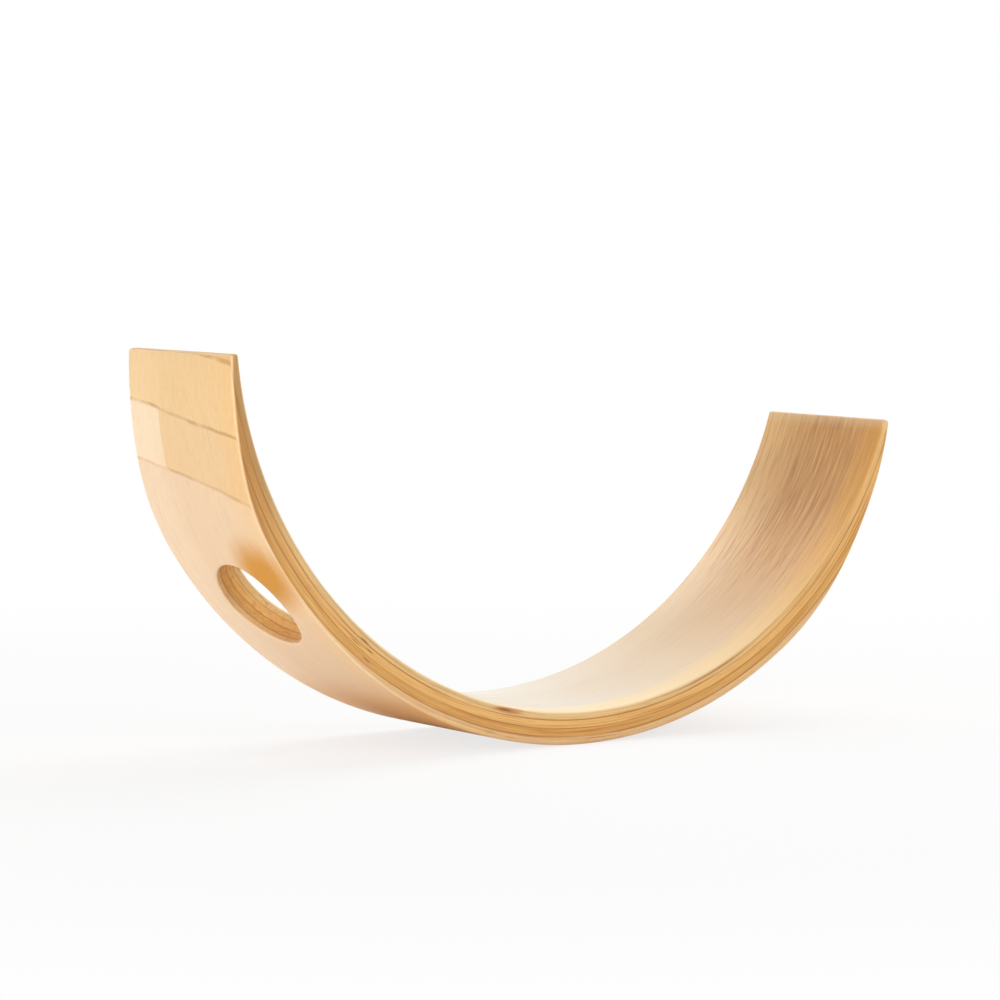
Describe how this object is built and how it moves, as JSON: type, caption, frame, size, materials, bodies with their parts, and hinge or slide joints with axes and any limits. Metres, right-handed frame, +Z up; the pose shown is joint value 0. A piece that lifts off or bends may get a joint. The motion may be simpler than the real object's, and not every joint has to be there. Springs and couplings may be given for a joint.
{
  "type": "balancing wine bottle holder",
  "caption": "One bent strip of laminated wood, an open arc with a round hole in its high arm for a bottle's neck and a low arm that its base rests on.",
  "frame": {"origin": "middle of the footprint, on the table that the round back stands on", "axes": "+X along the arc towards the low arm, +Y across the strip, +Z up"},
  "size_m": [0.2874, 0.07, 0.1434],
  "materials": {
    "wood": "satin"
  },
  "bodies": {
    "root": {"bent_strip": "wood"}
  },
  "joints": []
}
